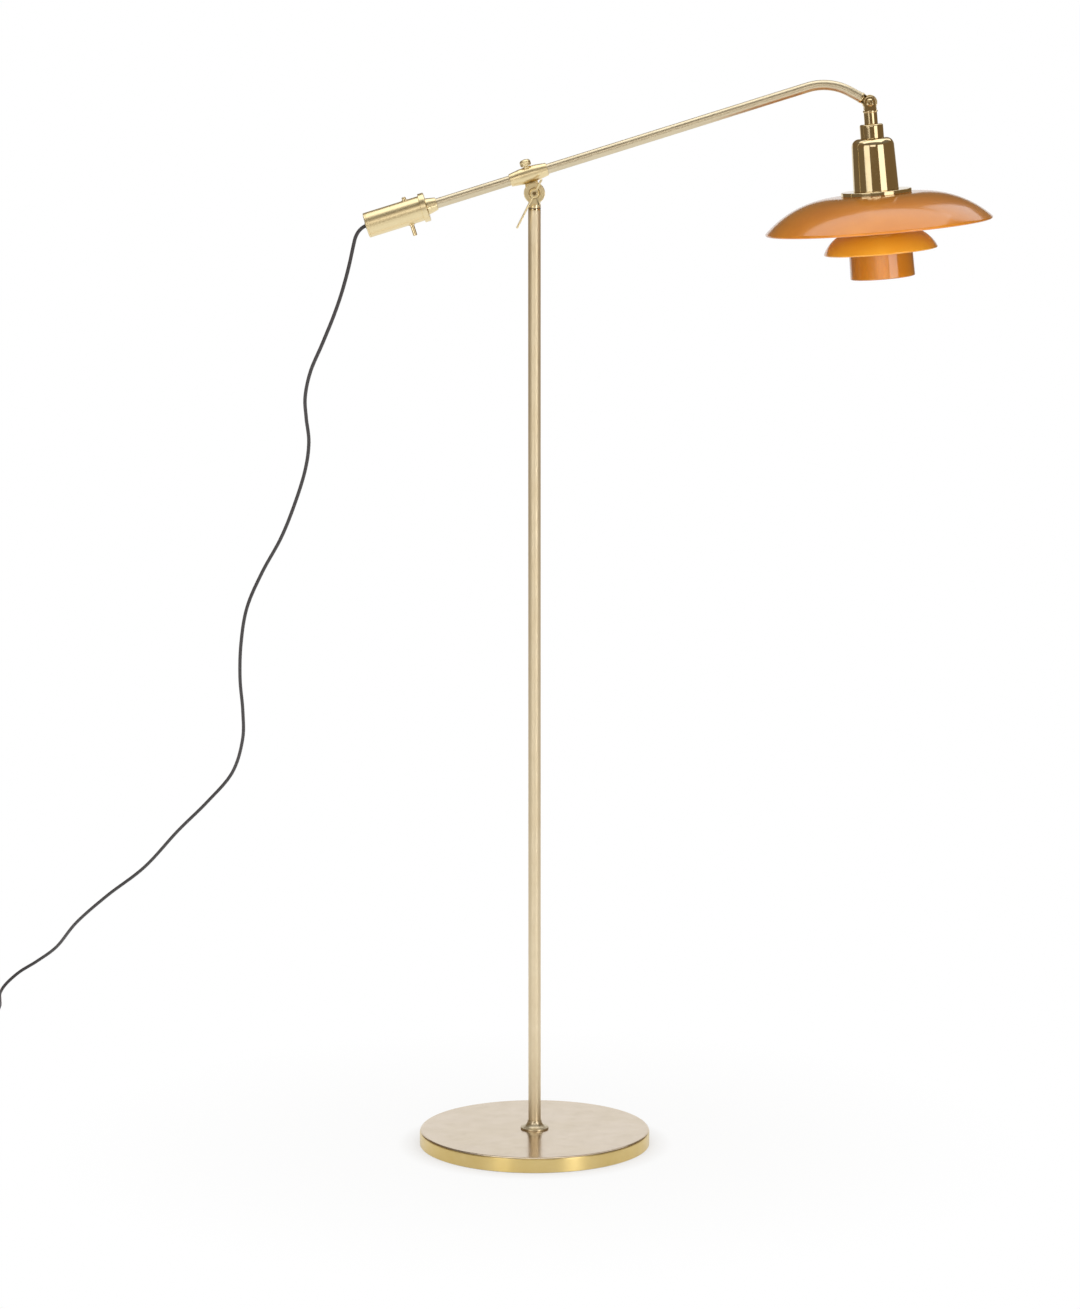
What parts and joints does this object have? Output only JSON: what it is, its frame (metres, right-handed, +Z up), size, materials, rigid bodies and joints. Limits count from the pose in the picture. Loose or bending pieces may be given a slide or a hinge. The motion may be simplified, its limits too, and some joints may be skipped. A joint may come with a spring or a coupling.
{
  "type": "floor_lamp",
  "caption": "Brass floor lamp with a counterbalanced arm that swings, tilts and slides, a push-through switch in its tail and tiered amber glass shades",
  "frame": {"origin": "On the floor, under the axis of the stem.", "axes": "+Z is up along the stem, +X is the way the head reaches, and the wing nut faces -Y."},
  "size_m": [1.3588, 0.9621, 1.2887],
  "materials": {
    "polished_brass": "polished pale brass, lacquered, mirror-like with fine hairline wear",
    "cast_weight": "raw grey casting",
    "base_felt": "dense wool felt",
    "plain_steel": "zinc-plated steel",
    "brown_fibre": "vulcanised fibre",
    "porcelain": "glazed white porcelain",
    "amber_glass": "amber glass, glossy outside and softly frosted inside",
    "opal_glass": "opal white glass",
    "black_cord": "smooth matt black sheath",
    "black_plastic": "moulded black plastic"
  },
  "bodies": {
    "stand": {"base_shell": "polished_brass", "base_weight": "cast_weight", "base_felt": "base_felt", "base_washer": "plain_steel", "base_nut": "plain_steel", "stem_stud": "plain_steel", "stem_flange": "polished_brass", "stem_tube": "polished_brass", "swivel_bush": "polished_brass", "cord_hang": "black_cord", "cord_coil": "black_cord", "coil_tie": "black_plastic", "cord_lead": "black_cord", "plug_body": "black_plastic", "plug_pins": "polished_brass"},
    "swivel": {"thrust_washer": "brown_fibre", "swivel_head": "polished_brass", "swivel_retainer": "plain_steel", "tilt_bolt": "polished_brass", "friction_washer": "brown_fibre", "nut_washer": "polished_brass"},
    "wing_nut": {"wing_nut": "polished_brass"},
    "sleeve": {"arm_sleeve": "polished_brass", "clamp_pad": "brown_fibre"},
    "thumb_screw": {"thumb_screw": "polished_brass"},
    "arm": {"arm_tube": "polished_brass", "arm_tip": "polished_brass", "arm_flex": "black_cord", "housing_front": "polished_brass", "housing_shell": "polished_brass", "housing_rear": "polished_brass", "cord_bush": "black_cord", "switch_block": "porcelain", "switch_terminals": "polished_brass", "supply_flex": "black_cord"},
    "push_bar": {"push_bar": "polished_brass"},
    "head": {"head_fork": "polished_brass", "hinge_screw": "polished_brass", "hinge_nut": "polished_brass", "head_flex": "black_cord", "head_collar": "polished_brass", "socket_house": "polished_brass", "house_nut": "plain_steel", "lampholder": "porcelain", "holder_thread": "polished_brass", "holder_contact": "polished_brass", "bulb_cap": "plain_steel", "bulb_glass": "opal_glass", "shade_flange": "polished_brass", "shade_carrier": "polished_brass", "shade_struts": "polished_brass", "carrier_screws": "polished_brass", "top_shade": "amber_glass", "middle_shade": "amber_glass", "bottom_shade": "amber_glass"}
  },
  "joints": [
    {"name": "arm_swing", "type": "hinge", "parent": "stand", "child": "swivel", "pos_m": [0, 0, 1.1383], "axis": [0, 0, 1], "range_deg": [-90, 90], "deforming": ["cord_hang"]},
    {"name": "arm_tilt", "type": "hinge", "parent": "swivel", "child": "sleeve", "pos_m": [0, 0, 1.156], "axis": [0, -1, 0], "range_deg": [-50, 40], "deforming": ["cord_hang"]},
    {"name": "wing_nut_turn", "type": "hinge", "parent": "swivel", "child": "wing_nut", "pos_m": [0, -0.0074, 1.156], "axis": [0, -1, 0], "range_deg": [0, 180]},
    {"name": "thumb_screw_turn", "type": "hinge", "parent": "sleeve", "child": "thumb_screw", "pos_m": [0, 0, 1.156], "axis": [-0.2974, 0, 0.9548], "range_deg": [0, 180]},
    {"name": "arm_slide", "type": "slide", "parent": "sleeve", "child": "arm", "axis": [0.9548, 0, 0.2974], "range_m": [-0.1, 0.08], "deforming": ["cord_hang"]},
    {"name": "head_tilt", "type": "hinge", "parent": "arm", "child": "head", "pos_m": [0.39515, 0, 1.26248], "axis": [0, -1, 0], "range_deg": [-30, 60]},
    {"name": "switch_push", "type": "slide", "parent": "arm", "child": "push_bar", "axis": [-0.2974, 0, 0.9548], "range_m": [0, 0.009]}
  ]
}
